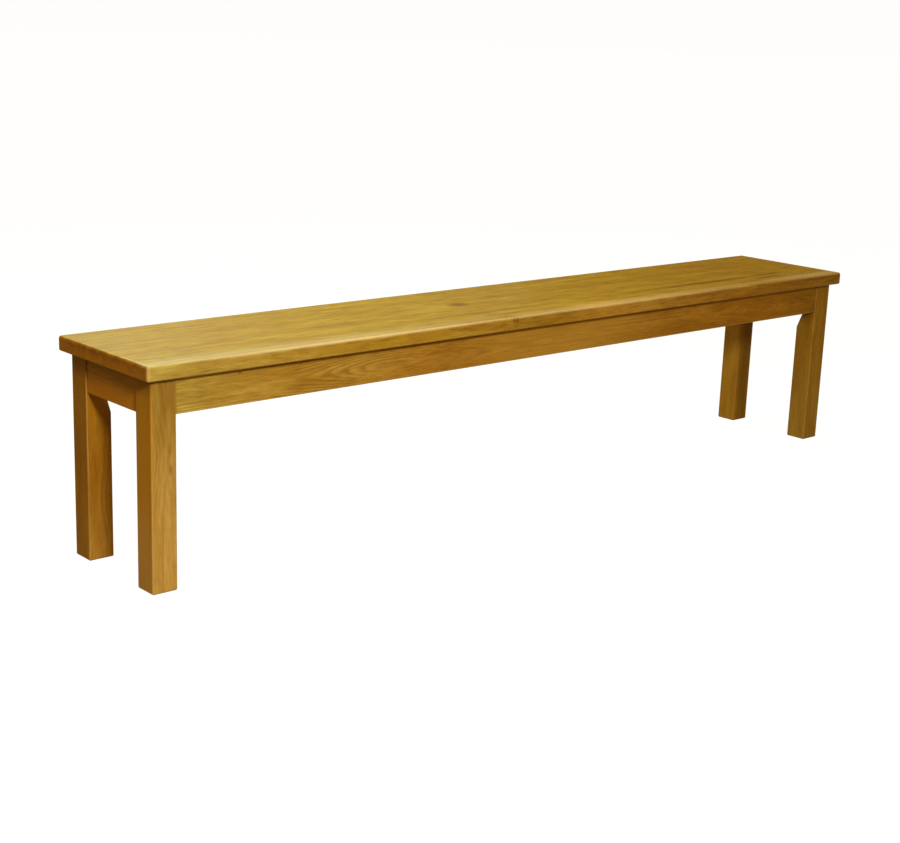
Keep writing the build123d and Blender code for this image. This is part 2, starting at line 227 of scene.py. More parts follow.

# Legs: node, seed, heart (y, z), and the tint of the whole leg, partly painted light and shade
leg_facts = (
    ("leg_front_left", 21.0, (0.015, 0.045), (0.70, 0.82, 1.25, 1)),
    ("leg_front_right", 26.3, (0.005, 0.045), (0.79, 0.83, 0.75, 1)),
    ("leg_back_left", 31.6, (-0.005, 0.045), (0.85, 0.77, 0.58, 1)),
    ("leg_back_right", 36.9, (-0.015, 0.045), (0.95, 1.03, 1.15, 1)),
)
# How much each leg's edges are paler, as wear and as a painted highlight
leg_rub_shares = {"leg_front_left": 0.6, "leg_front_right": 0.3, "leg_back_left": 0.5, "leg_back_right": 0.2}
leg_ring_width = 3.6 * mm

# Inner pieces: node, grain, seed, heart (y, z), ring width and turn in eighths of a full turn
hidden_facts = (
    ("corner_block_front_left", "X", 41.0, (0.03, 0.04), 4 * mm, -1),
    ("corner_block_front_right", "X", 44.3, (0.03, 0.04), 4 * mm, 1),
    ("corner_block_back_left", "X", 47.6, (0.03, 0.04), 4 * mm, 1),
    ("corner_block_back_right", "X", 50.9, (0.03, 0.04), 4 * mm, -1),
    ("cross_rail_left", "Y", 61.0, (0.03, 0.05), 4 * mm, 0),
    ("cross_rail_right", "Y", 64.3, (0.03, 0.05), 4 * mm, 0),
    ("seat_buttons", "X", 71.0, (0.2, 0.05), 4 * mm, 0),
    ("cross_rail_dowels", "Y", 81.0, (0.2, 0.05), 3 * mm, 0),
)

# Hills move the heart sideways along a board, which closes rings into ovals.
# Each has the place of its middle along the board, its half width and its height.
frame_hills = {
    "front_apron": [(-0.45, 0.17, 0.0145), (0.77, 0.09, 0.013)],
    "back_apron": [(0.3, 0.2, -0.014)],
    "leg_front_left": [(0.27, 0.09, -0.016)],
    "leg_front_right": [(0.20, 0.10, 0.012)],
    "leg_back_left": [(0.12, 0.07, 0.014)],
    "leg_back_right": [(0.30, 0.08, -0.012)],
}

# Drifts tint a board: where along it the tint starts, where it is full, and the tint.
# They follow the photograph: partly the wood's colour, partly painted light and shade where its light falls
# off.
seat_drift = (-0.5, 1.0, (0.86, 0.74, 0.55, 1))
seat_end_drift = (-0.70, -1.05, (0.93, 0.92, 0.35, 1))
front_stave_drifts = {
    "seat_stave_1_left": [
        # Painted sheen towards the left end
        (-0.42, -1.0, (1.05, 1.22, 2.6, 1)),
        (-0.36, -0.22, (0.92, 0.85, 0.95, 1)),
    ],
    "seat_stave_1_right": [
        (-0.14, -0.13, (0.84, 0.74, 0.68, 1)),
        (0.02, 0.12, (1.42, 1.48, 2.30, 1)),
        (0.15, 0.42, (0.83, 0.81, 0.80, 1)),
        (0.65, 0.95, (0.87, 0.94, 1.10, 1)),
    ],
}
frame_drifts = {
    "front_apron": [
        # Painted sheen towards the left end
        (-0.35, -0.60, (1.02, 1.20, 1.50, 1)),
        (-0.70, -0.95, (1.12, 1.33, 1.80, 1)),
        # Darker towards the right end
        (0.1, 0.8, (0.99, 0.91, 0.60, 1)),
        (0.78, 0.95, (0.85, 0.92, 0.95, 1)),
    ],
    # Painted light: the legs paler towards their feet
    "leg_front_left": [(0.45, 0.0, (1.90, 2.00, 3.4, 1))],
    "leg_front_right": [(0.30, 0.0, (1.12, 1.30, 2.3, 1))],
    "leg_back_left": [(0.22, 0.0, (1.22, 1.38, 2.7, 1))],
}

# Marks are knots, patches, and painted light and shade: painted sheen, painted highlights, painted light and
# painted shade.
# Each has its spot and reach in the board's own axes, the first along its grain, its share
# and its colour.
seat_half_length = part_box("seat_stave_2")[1].x
seat_end_marks = [
    ((side * seat_half_length, 0.0, 0.422), (0.008, 3.0, 0.022), 0.50, end_pale_colour) for side in (-1, 1)
]
finger_marks = [
    ((-0.1365, -0.167, 0.444), (0.0040, 0.008, 0.010), 0.65, knot_colour),
    ((-0.1255, -0.167, 0.443), (0.0040, 0.008, 0.011), 0.65, knot_colour),
    ((-0.131, -0.167, 0.443), (0.012, 0.008, 0.012), 0.40, soft_knot_colour),
]
stave_marks = {
    "seat_stave_1_left": finger_marks + [
        # Painted sheen along the front of the top, and a painted highlight along its front edge and on its
        # left corner
        ((-0.75, -0.155, 0.452), (0.60, 0.038, 0.010), 0.42, painted_grey_sheen_colour),
        ((-0.30, -0.145, 0.452), (0.45, 0.026, 0.010), 0.22, painted_grey_sheen_colour),
        ((-0.45, -0.1665, 0.4485), (0.60, 0.0065, 0.006), 0.50, edge_shine_colour),
        ((-1.049, -0.1665, 0.436), (0.008, 0.006, 0.035), 0.6, painted_corner_highlight_colour),
    ],
    "seat_stave_1_right": finger_marks + [
        # A painted highlight along the front edge, and painted sheen along the front of the top
        ((0.05, -0.1665, 0.4485), (0.80, 0.0065, 0.006), 0.34, edge_shine_colour),
        ((0.25, -0.155, 0.452), (0.80, 0.030, 0.010), 0.36, painted_pale_light_colour),
        ((0.98, -0.150, 0.452), (0.34, 0.036, 0.010), 0.50, painted_pale_light_colour),
        ((0.329, -0.146, 0.45), (0.022, 0.006, 0.02), 0.5, knot_colour),
    ],
    "seat_stave_2": [
        ((-0.42, -0.105, 0.45), (0.26, 0.030, 0.02), 0.22, soft_knot_colour),
        ((-0.16, -0.090, 0.45), (0.26, 0.016, 0.02), 0.50, soft_knot_colour),
        ((-0.86, -0.085, 0.45), (0.22, 0.014, 0.02), 0.35, soft_knot_colour),
        ((0.60, -0.085, 0.45), (0.34, 0.017, 0.02), 0.75, knot_colour),
        ((0.861, -0.078, 0.45), (0.09, 0.015, 0.02), 0.80, knot_colour),
        ((0.807, -0.112, 0.45), (0.09, 0.012, 0.02), 0.75, knot_colour),
    ],
    "seat_stave_3": [
        ((-0.60, -0.032, 0.45), (0.30, 0.014, 0.02), 0.25, knot_colour),
        ((0.80, -0.032, 0.45), (0.25, 0.016, 0.02), 0.35, knot_colour),
    ],
    "seat_stave_4": [((-0.146, 0.008, 0.45), (0.038, 0.032, 0.02), 0.90, soft_knot_colour)],
    "seat_stave_5": [((-0.150, 0.066, 0.45), (0.040, 0.014, 0.02), 0.45, knot_colour)],
    "seat_stave_6": [((0.72, 0.094, 0.45), (0.11, 0.035, 0.02), 0.35, red_patch_colour)],
}
frame_marks = {
    "front_apron": [
        ((-0.834, -0.1445, 0.408), (0.007, 0.006, 0.003), 0.8, knot_colour),
        # Painted light over the middle of the apron
        ((0.04, -0.1445, 0.375), (0.42, 0.03, 0.08), 0.42, apron_painted_light_colour),
        # Darker over the apron's whole height near x = -0.29
        ((-0.29, -0.1445, 0.375), (0.13, 0.03, 0.08), 0.24, soft_knot_colour),
    ],
    "left_apron": [
        # Painted light on the lower half of the end apron, and painted shade on its upper part under the
        # seat's overhang
        ((0.0, -1.029, 0.356), (0.35, 0.02, 0.045), 0.60, side_painted_light_colour),
        ((0.0, -1.029, 0.425), (0.35, 0.02, 0.050), 0.55, side_shade_colour),
    ],
    "leg_front_left": [
        # Painted light over the end face, painted shade at its top under the seat's overhang, and painted
        # light low on the end face
        ((0.25, -1.037, -0.120), (0.50, 0.016, 0.060), 0.85, leg_painted_light_colour),
        ((0.424, -1.036, -0.12), (0.052, 0.016, 0.100), 0.75, leg_shade_colour),
        ((0.07, -1.032, -0.120), (0.14, 0.012, 0.050), 0.16, painted_pale_light_colour),
        ((0.280, -0.991, -0.1475), (0.018, 0.005, 0.006), 0.35, soft_knot_colour),
        ((0.241, -0.990, -0.1475), (0.014, 0.006, 0.006), 0.45, soft_knot_colour),
    ],
    # Painted shade at the top of the inner face, under the apron
    "leg_front_right": [((0.352, 0.977, -0.118), (0.050, 0.012, 0.040), 0.65, leg_shade_colour)],
    "leg_back_left": [
        # Painted shade at the top of the end face under the seat's overhang, and painted light on the front
        # face below the apron
        ((0.42, -1.032, 0.12), (0.050, 0.014, 0.20), 0.60, leg_shade_colour),
        ((0.33, -1.0, 0.0925), (0.07, 0.040, 0.020), 0.40, leg_painted_light_colour),
    ],
    # Painted shade over the whole front face
    "leg_back_right": [((0.34, 1.010, 0.0925), (0.80, 0.036, 0.020), 0.65, leg_shade_colour)],
}

# Zinc plate
zinc_bright_colour = (0.62, 0.63, 0.64, 1)
zinc_dull_colour = (0.44, 0.45, 0.47, 1)
zinc_noise = ((300, 300, 300), 3.0, 0.5)
zinc_seed = 5.0
zinc_roughness = 0.22
zinc_roughness_spread = 0.2

# Joint sizes that the fasteners share with the solids
apron_back_depth = 25 * mm
block_bolt_gap = 6 * mm
block_thickness = 22 * mm
block_middle_drop = 37 * mm
bolt_spacing = 32 * mm
block_screw_web = 8 * mm
block_screw_length = 24 * mm
rail_screw_cover = 27 * mm
rail_screw_length = 45 * mm
rail_screw_staves = ("seat_stave_3", "seat_stave_5")
button_thickness = 20 * mm
button_screw_inset = 18 * mm
button_screw_length = 34 * mm
bay_count = 3

# Hanger bolts
bolt_radius = 3.85 * mm
bolt_leg_depth = 36 * mm
bolt_end_stand = 4 * mm
bolt_steel_pitch = 1.25 * mm
bolt_steel_depth = 0.65 * mm
bolt_wood_pitch = 4.0 * mm
bolt_wood_depth = 0.55 * mm
bolt_point_length = 2.5 * mm

# Washers and nuts
washer_radius = 9.9 * mm
washer_bore = 4.1 * mm
washer_thickness = 1.6 * mm
washer_round = 0.3 * mm
nut_half_flats = 6.5 * mm
nut_bore = 3.9 * mm
nut_height = 6.5 * mm
nut_face_radius = 6.2 * mm
nut_bore_chamfer = 0.6 * mm
nut_chamfer_slope = 0.577
nut_side_turn = math.pi / 3

# Wood screws
screw_radius = 2.1 * mm
screw_pitch = 2.0 * mm
screw_thread_depth = 0.55 * mm
screw_point_length = 5 * mm
screw_head_radius = 4.3 * mm
screw_head_height = 2.6 * mm
screw_slot_reach = 2.3 * mm
screw_slot_width = 0.95 * mm
screw_slot_depth = 1.4 * mm
slot_bottom_share = 0.7
pan_head_shares = ((1.0, 0.0), (1.0, 0.35), (0.93, 0.62), (0.76, 0.85), (0.5, 0.97), (0.2, 1.0))

# Sockets of the mix node that take and give colours
mix_colour_inputs = (6, 7)
mix_colour_output = 2

# Steps of round surfaces and of one turn of thread
round_steps = 24
thread_steps = 6
thread_tip_share = 0.25
sharp_angle = math.radians(35)

# Places of the joints, worked out from the frame and the sizes above
seat_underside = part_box("seat_stave_2")[0].z
leg_low, leg_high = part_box("leg_back_right")
leg_cut_distance = (leg_high.x - leg_low.x + apron_back_depth) / math.sqrt(2)
block_back_distance = leg_cut_distance + block_bolt_gap
nut_distance = block_bolt_gap + block_thickness
down = Vector((0, 0, -1))


class Graph:
    """Adds shader nodes to a tree and joins them."""

    def __init__(self, tree):
        self.tree = tree

    def feed(self, socket, value):
        """Join a socket to another socket, or set a plain value on it."""
        if isinstance(value, bpy.types.NodeSocket):
            self.tree.links.new(value, socket)
        else:
            socket.default_value = value

    def node(self, kind, *values, **settings):
        """A node whose first inputs are fed in order."""
        made = self.tree.nodes.new(kind)
        for setting, choice in settings.items():
            setattr(made, setting, choice)
        for socket, value in zip(made.inputs, values):
            self.feed(socket, value)
        return made

    def math(self, operation, *values):
        """The result of a sum or another operation on numbers."""
        return self.node("ShaderNodeMath", *values, operation=operation).outputs[0]

    def vector(self, operation, *values):
        """The result of an operation on vectors."""
        return self.node("ShaderNodeVectorMath", *values, operation=operation).outputs[0]

    def split(self, vector):
        """The x, y and z of a vector."""
        return self.node("ShaderNodeSeparateXYZ", vector).outputs

    def joined(self, *parts):
        """A vector made of its x, y and z."""
        return self.node("ShaderNodeCombineXYZ", *parts).outputs[0]

    def length(self, vector):
        """The length of a vector."""
        return self.node("ShaderNodeVectorMath", vector, operation="LENGTH").outputs["Value"]

    def turned(self, vector, angle):
        """A vector turned about the z axis."""
        made = self.node("ShaderNodeVectorRotate", vector, rotation_type="Z_AXIS")
        made.inputs["Angle"].default_value = angle
        return made.outputs[0]

    def noise(self, place, seed, cells, detail, roughness):
        """Smooth noise from 0 to 1."""
        point = self.vector("MULTIPLY", place, cells)
        made = self.node("ShaderNodeTexNoise", point, seed, noise_dimensions="4D")
        made.inputs["Scale"].default_value = 1.0
        made.inputs["Detail"].default_value = detail
        made.inputs["Roughness"].default_value = roughness
        return made.outputs["Fac"]

    def step(self, value, low, high, start=0.0, end=1.0):
        """A smooth step from start to end as the value goes from low to high."""
        levels = (low, high, start, end)
        return self.node("ShaderNodeMapRange", value, *levels, interpolation_type="SMOOTHSTEP").outputs[0]

    def mix(self, share, first, second, blend="MIX"):
        """Two colours mixed by a share from 0 to 1."""
        made = self.node("ShaderNodeMix", data_type="RGBA", blend_type=blend)
        self.feed(made.inputs["Factor"], share)
        for count, colour in zip(mix_colour_inputs, (first, second)):
            self.feed(made.inputs[count], colour)
        return made.outputs[mix_colour_output]


def new_material(name):
    """A material and its shader."""
    material = bpy.data.materials.new(name)
    material.use_nodes = True
    return material, material.node_tree.nodes["Principled BSDF"]


def new_object(name, data):
    """An object in the scene."""
    made = bpy.data.objects.new(name, data)
    bpy.context.scene.collection.objects.link(made)
    return made


def new_group(name, inputs, outputs):
    """A node group with named sockets, its graph and its two end nodes."""
    tree = bpy.data.node_groups.new(name, "ShaderNodeTree")
    for socket_name, kind in inputs.items():
        tree.interface.new_socket(name=socket_name, in_out="INPUT", socket_type=kind)
    for socket_name in outputs:
        tree.interface.new_socket(name=socket_name, in_out="OUTPUT", socket_type="NodeSocketFloat")
    graph = Graph(tree)
    return tree, graph, graph.node("NodeGroupInput").outputs, graph.node("NodeGroupOutput").inputs


def growth_rings(graph, place, heart, ring_width, seed):
    """Growth rings about the heart, from 0 to 1, bent by noise and faint in patches."""
    across = graph.split(heart)
    square = graph.math("MULTIPLY", across[2], across[2])
    radius = graph.math("SQRT", graph.math("MULTIPLY_ADD", across[1], across[1], square))
    for noise, amount in ring_wanders:
        wander = graph.math("SUBTRACT", graph.noise(place, seed, *noise), noise_middle)
        radius = graph.math("MULTIPLY_ADD", wander, amount, radius)
    phase = graph.math("FRACT", graph.math("DIVIDE", radius, ring_width))
    ring = graph.math("MULTIPLY", graph.step(phase, *ring_rise_ramp), graph.step(phase, *ring_fall_ramp))
    return graph.math("MULTIPLY", ring, graph.step(graph.noise(place, seed, *patch_noise), *ring_patch_ramp))


def wood_figure_group():
    """Growth rings, pores and streaks of a board, worked out through its solid.

    Place is the point in the board's own axes: x along the grain, y and z across it.
    Heart is the same point measured from the tree's heart, which may lie beside the board.
    """
    inputs = {
        "Place": "NodeSocketVector",
        "Heart": "NodeSocketVector",
        "Ring width": "NodeSocketFloat",
        "Seed": "NodeSocketFloat",
    }
    outputs = ("Ring", "Pore", "Blotch", "Streak", "Fibre")
    tree, graph, given, result = new_group("wood_figure", inputs, outputs)
    place, seed = given["Place"], given["Seed"]
    ring = growth_rings(graph, place, given["Heart"], given["Ring width"], seed)
    pore_share = graph.math("MULTIPLY_ADD", ring, 1 - pore_between_rings_share, pore_between_rings_share)
    pore = graph.step(graph.noise(place, seed, *pore_noise), *pore_ramp)
    graph.feed(result["Ring"], ring)
    graph.feed(result["Pore"], graph.math("MULTIPLY", pore, pore_share))
    graph.feed(result["Blotch"], graph.noise(place, seed, *blotch_noise))
    graph.feed(result["Streak"], graph.noise(place, seed, *streak_noise))
    graph.feed(result["Fibre"], graph.noise(place, seed, *fibre_noise))
    return tree


wood_figure = wood_figure_group()


def board_coordinates(graph, board):
    """A point and its normal in the board's own axes, x along the grain."""
    given = graph.node("ShaderNodeTexCoord").outputs
    vectors = [given["Object"], given["Normal"]]
    if board.turn:
        vectors = [graph.turned(vector, -board.turn) for vector in vectors]
    parts = [graph.split(vector) for vector in vectors]
    return [graph.joined(*[part[axis] for axis in grain_orders[board.grain]]) for part in parts]


def board_box(board):
    """The board's low and high corners, x along the grain."""
    return [Vector([corner[axis] for axis in grain_orders[board.grain]]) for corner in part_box(board.node)]


def hill(graph, along, middle, half_width):
    """A smooth hill, 1 at its middle and near 0 at twice its half width."""
    distance = graph.math("DIVIDE", graph.math("SUBTRACT", along, middle), half_width)
    return graph.math("EXPONENT", graph.math("MULTIPLY", graph.math("MULTIPLY", distance, distance), -1.0))


def board_figure(graph, board, place, box):
    """The rings, pores, blotches, streaks and fibres of one board."""
    middle = (box[0] + box[1]) / 2
    middle.rotate(Matrix.Rotation(-board.turn, 3, "Z"))
    along, across_y, across_z = graph.split(place)
    heart_y = graph.math("SUBTRACT", across_y, middle.y + board.heart[0])
    heart_z = graph.math("SUBTRACT", across_z, middle.z + board.heart[1])
    for spot, half_width, height in board.hills:
        heart_y = graph.math("MULTIPLY_ADD", hill(graph, along, spot, half_width), height, heart_y)
    values = (place, graph.joined(along, heart_y, heart_z), board.ring_width, board.seed)
    return graph.node("ShaderNodeGroup", *values, node_tree=wood_figure).outputs


def body_colour(graph, board, figure):
    """Light, warm and dark wood, mixed by the figure."""
    light, warm, dark = board.wood.palette
    low, high = [level - board.tone for level in body_levels]
    colour = graph.mix(graph.step(figure["Blotch"], low, high), light, warm)
    dark_streak = graph.step(figure["Streak"], *dark_streak_levels, 0.0, board.wood.streak_share)
    colour = graph.mix(dark_streak, colour, dark)
    colour = graph.mix(graph.step(figure["Streak"], *light_streak_ramp), colour, light)
    colour = graph.mix(graph.math("MULTIPLY", figure["Ring"], board.wood.ring_share), colour, dark)
    colour = graph.mix(graph.step(figure["Fibre"], *fibre_ramp), colour, dark)
    return graph.mix(graph.math("MULTIPLY", figure["Pore"], pore_dark_share), colour, dark)


def drifted(graph, board, place, colour):
    """Tint the board from one place along it to another."""
    along = graph.split(place)[0]
    for start, full, tint in board.drifts:
        colour = graph.mix(graph.step(along, start, full), colour, tint, "MULTIPLY")
    return colour


def end_grained(graph, board, normal, figure, colour):
    """Darken the ends, which drink more stain, in patches."""
    facing = graph.math("ABSOLUTE", graph.split(normal)[0])
    patch = graph.math("MULTIPLY", figure["Streak"], 1 - end_blotch_share)
    patch = graph.math("MULTIPLY_ADD", figure["Blotch"], end_blotch_share, patch)
    end_colour = graph.mix(graph.step(patch, *end_patch_levels), *board.wood.end_colours)
    return graph.mix(graph.step(facing, *end_grain_ramp), colour, end_colour)


def rubbed_and_highlighted(graph, board, place, box, figure, colour):
    """Make the long edges paler, as wear and as a painted highlight, more in some places than in others."""
    low, high = box
    offset = graph.vector("ABSOLUTE", graph.vector("SUBTRACT", place, (low + high) / 2))
    depth = graph.split(graph.vector("SUBTRACT", (high - low) / 2, offset))
    edge_depth = graph.math("MAXIMUM", depth[1], depth[2])
    edge = graph.step(edge_depth, edge_wear_and_highlight_core_share * edge_wear_and_highlight_width, edge_wear_and_highlight_width, 1.0, 0.0)
    rub_share = board.wood.rub_share
    rub = graph.step(figure["Blotch"], *rub_and_highlight_levels, rub_and_highlight_least_share * rub_share, rub_share)
    return graph.mix(graph.math("MULTIPLY", edge, rub), colour, worn_edge_and_highlight_colour)


def marked(graph, board, place, colour):
    """Lay the board's marks over its colour."""
    for spot, reach, share, mark_colour in board.marks:
        offset = graph.vector("DIVIDE", graph.vector("SUBTRACT", place, spot), reach)
        near = graph.step(graph.length(offset), *mark_ramp)
        colour = graph.mix(graph.math("MULTIPLY", near, share), colour, mark_colour)
    return colour


def joint_lined(graph, board, place, box, colour):
    """Darken a thin line at each end, where the board meets another."""
    low, high = box
    half_length = (high.x - low.x) / 2
    line_start = half_length - joint_line_width
    line_full = half_length - joint_line_core_share * joint_line_width
    offset = graph.math("SUBTRACT", graph.split(place)[0], (low.x + high.x) / 2)
    line = graph.step(graph.math("ABSOLUTE", offset), line_start, line_full)
    dark = board.wood.palette[-1]
    return graph.mix(graph.math("MULTIPLY", line, board.wood.joint_share), colour, dark)


def lacquer(graph, shader, figure):
    """A satin lacquer, rougher and lower in the pores."""
    rough = graph.math("MULTIPLY_ADD", figure["Fibre"], fibre_roughness, lacquer_roughness)
    graph.feed(shader.inputs["Roughness"], graph.math("MULTIPLY_ADD", figure["Pore"], pore_roughness, rough))
    shader.inputs["Specular IOR Level"].default_value = lacquer_shine
    height = graph.math("MULTIPLY", figure["Fibre"], fibre_height_share)
    height = graph.math("MULTIPLY_ADD", figure["Pore"], pore_height_share, height)
    bump = graph.node("ShaderNodeBump", bump_strength, bump_depth)
    graph.feed(bump.inputs["Height"], height)
    graph.feed(shader.inputs["Normal"], bump.outputs[0])


def wood_material(board):
    """The lacquered wood of one board."""
    material, shader = new_material(f"{board.wood.kind}_{board.node}")
    graph = Graph(material.node_tree)
    place, normal = board_coordinates(graph, board)
    box = board_box(board)
    figure = board_figure(graph, board, place, box)
    colour = drifted(graph, board, place, body_colour(graph, board, figure))
    colour = end_grained(graph, board, normal, figure, colour)
    colour = rubbed_and_highlighted(graph, board, place, box, figure, colour)
    colour = marked(graph, board, place, colour)
    if board.wood.joint_share:
        colour = joint_lined(graph, board, place, box, colour)
    graph.feed(shader.inputs["Base Color"], colour)
    lacquer(graph, shader, figure)
    return material


def dress(board):
    """Give a CAD node its finished material."""
    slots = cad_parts[board.node].data.materials
    slots.clear()
    slots.append(wood_material(board))


def stave_boards():
    """The staves of the seat."""
    boards = []
    for node, seed, heart, ring_width, tone in stave_facts:
        drifts = [seat_drift] + front_stave_drifts.get(node, [seat_end_drift])
        marks = seat_end_marks + stave_marks.get(node, [])
        board = Board(node, seat_wood, "X", seed, heart, ring_width, tone, drifts=drifts, marks=marks)
        boards.append(board)
    return boards


def frame_board(node, *facts):
    """A board of the frame, with its own hills, drifts and marks."""
    hills, drifts, marks = [table.get(node, ()) for table in (frame_hills, frame_drifts, frame_marks)]
    return Board(node, *facts, hills=hills, drifts=drifts, marks=marks)


def apron_boards():
    """The four aprons."""
    return [frame_board(*facts) for facts in apron_facts]


def tinted(palette, tint):
    """Colours multiplied by a tint."""
    return tuple(tuple(part * factor for part, factor in zip(colour, tint)) for colour in palette)


def leg_boards():
    """The four legs, each with its own tint, partly painted light and shade, and its own share of worn and
    highlighted edges.
    """
    boards = []
    for node, seed, heart, tint in leg_facts:
        wood = leg_wood._replace(palette=tinted(leg_palette, tint), rub_share=leg_rub_shares[node])
        boards.append(frame_board(node, wood, "Z", seed, heart, leg_ring_width))
    return boards


def hidden_boards():
    """Corner blocks, cross rails, seat buttons and dowels."""
    boards = []
    for node, grain, seed, heart, ring_width, eighths in hidden_facts:
        turn = eighths * math.pi / 4
        boards.append(Board(node, hidden_wood, grain, seed, heart, ring_width, turn=turn))
    return boards


def zinc_material():
    """Bright zinc plate, slightly uneven."""
    material, shader = new_material("zinc_steel")
    graph = Graph(material.node_tree)
    point = graph.node("ShaderNodeTexCoord").outputs["Object"]
    cloud = graph.noise(point, zinc_seed, *zinc_noise)
    graph.feed(shader.inputs["Base Color"], graph.mix(cloud, zinc_bright_colour, zinc_dull_colour))
    roughness = graph.math("MULTIPLY_ADD", cloud, zinc_roughness_spread, zinc_roughness)
    graph.feed(shader.inputs["Roughness"], roughness)
    shader.inputs["Metallic"].default_value = 1.0
    return material


def new_piece(name, mesh, material, node):
    """Add a mesh that stands for a CAD node."""
    mesh.materials.append(material)
    mesh.shade_smooth()
    mesh.set_sharp_from_angle(angle=sharp_angle)
    piece = new_object(name, mesh)
    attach(piece, "root")
    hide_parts(node)


def finished_mesh(name, build):
    """The mesh that a bmesh has built."""
    mesh = bpy.data.meshes.new(name)
    build.to_mesh(mesh)
    build.free()
    return mesh


def ring_surface(name, rings, capped=True):
    """A mesh through rings of points that all have the same count."""
    build = bmesh.new()
    rows = [[build.verts.new(point) for point in ring] for ring in rings]
    for lower, upper in zip(rows, rows[1:]):
        for count in range(len(lower)):
            after = (count + 1) % len(lower)
            build.faces.new((lower[count], lower[after], upper[after], upper[count]))
    if capped:
        build.faces.new(rows[0][::-1])
        build.faces.new(rows[-1])
    bmesh.ops.recalc_face_normals(build, faces=build.faces)
    return finished_mesh(name, build)


def round_ring(radius, level, steps=round_steps):
    """A ring of points about the z axis."""
    turns = [2 * math.pi * count / steps for count in range(steps)]
    return [(radius * math.cos(turn), radius * math.sin(turn), level) for turn in turns]


def thread_ring(outer, depth, pitch, level):
    """One ring of a thread, whose crest goes round once in each pitch."""
    ring = []
    for count in range(round_steps):
        turn = count / round_steps
        phase = (level / pitch - turn) % 1.0
        radius = outer - depth * abs(2 * phase - 1)
        ring.append((radius * math.cos(2 * math.pi * turn), radius * math.sin(2 * math.pi * turn), level))
    return ring


def thread_rings(outer, depth, pitch, low, high, taper, taper_at_low):
    """Rings of a threaded rod from low to high whose one end tapers."""
    rings = []
    row_count = round((high - low) / pitch * thread_steps)
    for row in range(row_count + 1):
        level = low + (high - low) * row / row_count
        from_end = level - low if taper_at_low else high - level
        slim = min(1.0, thread_tip_share + (1 - thread_tip_share) * from_end / taper)
        rings.append([(slim * x, slim * y, z) for x, y, z in thread_ring(outer, depth, pitch, level)])
    return rings


def bolt_mesh():
    """A hanger bolt, with z = 0 where it leaves the leg."""
    steel_length = nut_distance + washer_thickness + nut_height + bolt_end_stand
    wood_thread = (bolt_radius, bolt_wood_depth, bolt_wood_pitch)
    wood_end = thread_rings(*wood_thread, -bolt_leg_depth, 0.0, bolt_point_length, True)
    steel_thread = (bolt_radius, bolt_steel_depth, bolt_steel_pitch)
    steel_end = thread_rings(*steel_thread, 0.0, steel_length, bolt_steel_depth, False)
    return ring_surface("bolt", wood_end + steel_end[1:])


def washer_mesh():
    """A flat washer with softened rims, standing on z = 0."""
    profile = [
        (washer_bore, 0.0),
        (washer_radius - washer_round, 0.0),
        (washer_radius, washer_round),
        (washer_radius, washer_thickness - washer_round),
        (washer_radius - washer_round, washer_thickness),
        (washer_bore, washer_thickness),
        (washer_bore, 0.0),
    ]
    return ring_surface("washer", [round_ring(radius, level) for radius, level in profile], capped=False)


def hex_ring(level, rising):
    """The outline of a nut at its chamfer, which falls away towards the corners."""
    ring = []
    for count in range(2 * round_steps):
        turn = math.pi * count / round_steps
        from_flat = (turn + nut_side_turn / 2) % nut_side_turn - nut_side_turn / 2
        radius = nut_half_flats / math.cos(from_flat)
        drop = max(0.0, radius - nut_face_radius) * nut_chamfer_slope
        ring.append((radius * math.cos(turn), radius * math.sin(turn), level - drop * rising))
    return ring


def nut_mesh():
    """A hexagon nut with chamfered corners and a countersunk bore, standing on z = 0."""
    steps = 2 * round_steps
    mouth = nut_bore + nut_bore_chamfer
    rings = [
        round_ring(nut_bore, nut_bore_chamfer, steps),
        round_ring(mouth, 0.0, steps),
        round_ring(nut_face_radius, 0.0, steps),
        hex_ring(0.0, -1),
        hex_ring(nut_height, 1),
        round_ring(nut_face_radius, nut_height, steps),
        round_ring(mouth, nut_height, steps),
        round_ring(nut_bore, nut_height - nut_bore_chamfer, steps),
        round_ring(nut_bore, nut_bore_chamfer, steps),
    ]
    return ring_surface("nut", rings, capped=False)


def cross_mesh():
    """A cross-shaped prism that cuts a screw head's recess, narrower at its bottom."""
    half = screw_slot_width / 2
    arm = [(screw_slot_reach, -half), (screw_slot_reach, half), (half, half)]
    outline = []
    for quarter in range(4):
        outline += arm
        arm = [(-y, x) for x, y in arm]
    low = screw_head_height - screw_slot_depth
    high = screw_head_height + screw_slot_depth
    lower = [(x * slot_bottom_share, y * slot_bottom_share, low) for x, y in outline]
    upper = [(x, y, high) for x, y in outline]
    return ring_surface("cross", [lower, upper])


def screw_mesh(length):
    """A pan-headed wood screw with a cross recess: head above z = 0, thread and point below."""
    thread = (screw_radius, screw_thread_depth, screw_pitch)
    shank = thread_rings(*thread, -length, 0.0, screw_point_length, True)
    head = [round_ring(screw_head_radius * wide, screw_head_height * high) for wide, high in pan_head_shares]
    body = new_object("screw_body", ring_surface("screw", shank + head))
    cutter = new_object("screw_cutter", cross_mesh())
    cut = body.modifiers.new("recess", "BOOLEAN")
    cut.operation = "DIFFERENCE"
    cut.object = cutter
    bpy.context.view_layer.update()
    mesh = bpy.data.meshes.new_from_object(body.evaluated_get(bpy.context.evaluated_depsgraph_get()))
    for item in (body, cutter):
        bpy.data.objects.remove(item)
    return mesh


def joined_copies(name, template, places):
    """One mesh of a fastener's copies, each set at a spot with its z axis along a direction."""
    build = bmesh.new()
    for spot, direction in places:
        copy = template.copy()
        copy.transform(Matrix.Translation(spot) @ direction.to_track_quat("Z", "X").to_matrix().to_4x4())
        build.from_mesh(copy)
        bpy.data.meshes.remove(copy)
    return finished_mesh(name, build)


